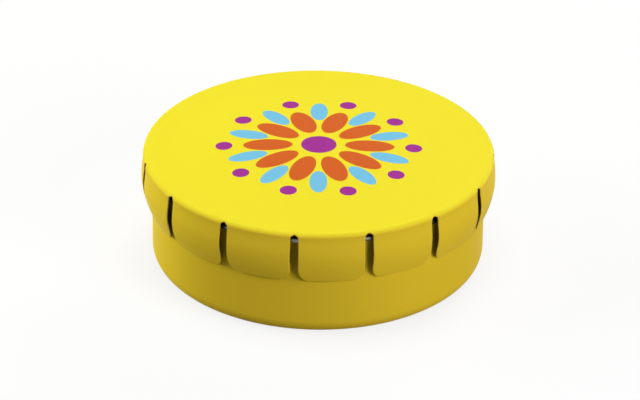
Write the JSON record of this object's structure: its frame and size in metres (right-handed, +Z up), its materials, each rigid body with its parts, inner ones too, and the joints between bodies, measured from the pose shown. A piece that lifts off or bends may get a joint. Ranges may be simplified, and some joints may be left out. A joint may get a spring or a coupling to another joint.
{
  "type": "snap-lid mint tin",
  "caption": "Round lacquered tinplate mint tin: drawn cup base with a rolled rim and a snap lid whose domed panel presses in to spread its skirt of spring tongues.",
  "frame": {"origin": "on the ground under the centre of the base", "axes": "+Z up along the tin's axis, -Y towards the picture's camera"},
  "size_m": [0.046, 0.046, 0.0159],
  "materials": {
    "base_lacquer": "satin-gloss yellow lacquer on tinplate, bare tinplate inside",
    "lid_lacquer": "satin-gloss yellow lacquer on tinplate, bare at cut edges"
  },
  "bodies": {
    "base": {"base_cup": "base_lacquer"},
    "lid": {"lid_rim": "lid_lacquer"},
    "panel": {"snap_panel": "lid_lacquer"},
    "tongue_01": {"tongue_01": "lid_lacquer"},
    "tongue_02": {"tongue_02": "lid_lacquer"},
    "tongue_03": {"tongue_03": "lid_lacquer"},
    "tongue_04": {"tongue_04": "lid_lacquer"},
    "tongue_05": {"tongue_05": "lid_lacquer"},
    "tongue_06": {"tongue_06": "lid_lacquer"},
    "tongue_07": {"tongue_07": "lid_lacquer"},
    "tongue_08": {"tongue_08": "lid_lacquer"},
    "tongue_09": {"tongue_09": "lid_lacquer"},
    "tongue_10": {"tongue_10": "lid_lacquer"},
    "tongue_11": {"tongue_11": "lid_lacquer"},
    "tongue_12": {"tongue_12": "lid_lacquer"},
    "tongue_13": {"tongue_13": "lid_lacquer"},
    "tongue_14": {"tongue_14": "lid_lacquer"},
    "tongue_15": {"tongue_15": "lid_lacquer"}
  },
  "joints": [
    {"name": "lid_lift", "type": "slide", "parent": "base", "child": "lid", "axis": [0, 0, 1], "range_m": [0, 0.02]},
    {"name": "panel_press", "type": "slide", "parent": "lid", "child": "panel", "axis": [0, 0, -1], "range_m": [0, 0.0014]},
    {"name": "tongue_01_flex", "type": "hinge", "parent": "lid", "child": "tongue_01", "pos_m": [0.00183, -0.02271, 0.01451], "axis": [-0.9968, -0.0802, 0], "range_deg": [0, 8]},
    {"name": "tongue_02_flex", "type": "hinge", "parent": "lid", "child": "tongue_02", "pos_m": [0.0109, -0.02, 0.01451], "axis": [-0.878, -0.4787, 0], "range_deg": [0, 8]},
    {"name": "tongue_03_flex", "type": "hinge", "parent": "lid", "child": "tongue_03", "pos_m": [0.0181, -0.01384, 0.01451], "axis": [-0.6074, -0.7944, 0], "range_deg": [0, 8]},
    {"name": "tongue_04_flex", "type": "hinge", "parent": "lid", "child": "tongue_04", "pos_m": [0.02216, -0.00528, 0.01451], "axis": [-0.2317, -0.9728, 0], "range_deg": [0, 8]},
    {"name": "tongue_05_flex", "type": "hinge", "parent": "lid", "child": "tongue_05", "pos_m": [0.02239, 0.00419, 0.01451], "axis": [0.184, -0.9829, 0], "range_deg": [0, 8]},
    {"name": "tongue_06_flex", "type": "hinge", "parent": "lid", "child": "tongue_06", "pos_m": [0.01875, 0.01294, 0.01451], "axis": [0.5678, -0.8231, 0], "range_deg": [0, 8]},
    {"name": "tongue_07_flex", "type": "hinge", "parent": "lid", "child": "tongue_07", "pos_m": [0.01187, 0.01944, 0.01451], "axis": [0.8536, -0.521, 0], "range_deg": [0, 8]},
    {"name": "tongue_08_flex", "type": "hinge", "parent": "lid", "child": "tongue_08", "pos_m": [0.00293, 0.02259, 0.01451], "axis": [0.9917, -0.1288, 0], "range_deg": [0, 8]},
    {"name": "tongue_09_flex", "type": "hinge", "parent": "lid", "child": "tongue_09", "pos_m": [-0.00651, 0.02183, 0.01451], "axis": [0.9583, 0.2857, 0], "range_deg": [0, 8]},
    {"name": "tongue_10_flex", "type": "hinge", "parent": "lid", "child": "tongue_10", "pos_m": [-0.01482, 0.0173, 0.01451], "axis": [0.7593, 0.6508, 0], "range_deg": [0, 8]},
    {"name": "tongue_11_flex", "type": "hinge", "parent": "lid", "child": "tongue_11", "pos_m": [-0.02058, 0.00977, 0.01451], "axis": [0.4289, 0.9033, 0], "range_deg": [0, 8]},
    {"name": "tongue_12_flex", "type": "hinge", "parent": "lid", "child": "tongue_12", "pos_m": [-0.02277, 0.00056, 0.01451], "axis": [0.0244, 0.9997, 0], "range_deg": [0, 8]},
    {"name": "tongue_13_flex", "type": "hinge", "parent": "lid", "child": "tongue_13", "pos_m": [-0.02103, -0.00875, 0.01451], "axis": [-0.3843, 0.9232, 0], "range_deg": [0, 8]},
    {"name": "tongue_14_flex", "type": "hinge", "parent": "lid", "child": "tongue_14", "pos_m": [-0.01565, -0.01655, 0.01451], "axis": [-0.7266, 0.6871, 0], "range_deg": [0, 8]},
    {"name": "tongue_15_flex", "type": "hinge", "parent": "lid", "child": "tongue_15", "pos_m": [-0.00757, -0.02149, 0.01451], "axis": [-0.9432, 0.3322, 0], "range_deg": [0, 8]}
  ],
  "couplings": [
    {"joint": "tongue_01_flex", "follows": "panel_press", "rad_per_m": 99.7},
    {"joint": "tongue_02_flex", "follows": "panel_press", "rad_per_m": 99.7},
    {"joint": "tongue_03_flex", "follows": "panel_press", "rad_per_m": 99.7},
    {"joint": "tongue_04_flex", "follows": "panel_press", "rad_per_m": 99.7},
    {"joint": "tongue_05_flex", "follows": "panel_press", "rad_per_m": 99.7},
    {"joint": "tongue_06_flex", "follows": "panel_press", "rad_per_m": 99.7},
    {"joint": "tongue_07_flex", "follows": "panel_press", "rad_per_m": 99.7},
    {"joint": "tongue_08_flex", "follows": "panel_press", "rad_per_m": 99.7},
    {"joint": "tongue_09_flex", "follows": "panel_press", "rad_per_m": 99.7},
    {"joint": "tongue_10_flex", "follows": "panel_press", "rad_per_m": 99.7},
    {"joint": "tongue_11_flex", "follows": "panel_press", "rad_per_m": 99.7},
    {"joint": "tongue_12_flex", "follows": "panel_press", "rad_per_m": 99.7},
    {"joint": "tongue_13_flex", "follows": "panel_press", "rad_per_m": 99.7},
    {"joint": "tongue_14_flex", "follows": "panel_press", "rad_per_m": 99.7},
    {"joint": "tongue_15_flex", "follows": "panel_press", "rad_per_m": 99.7}
  ]
}
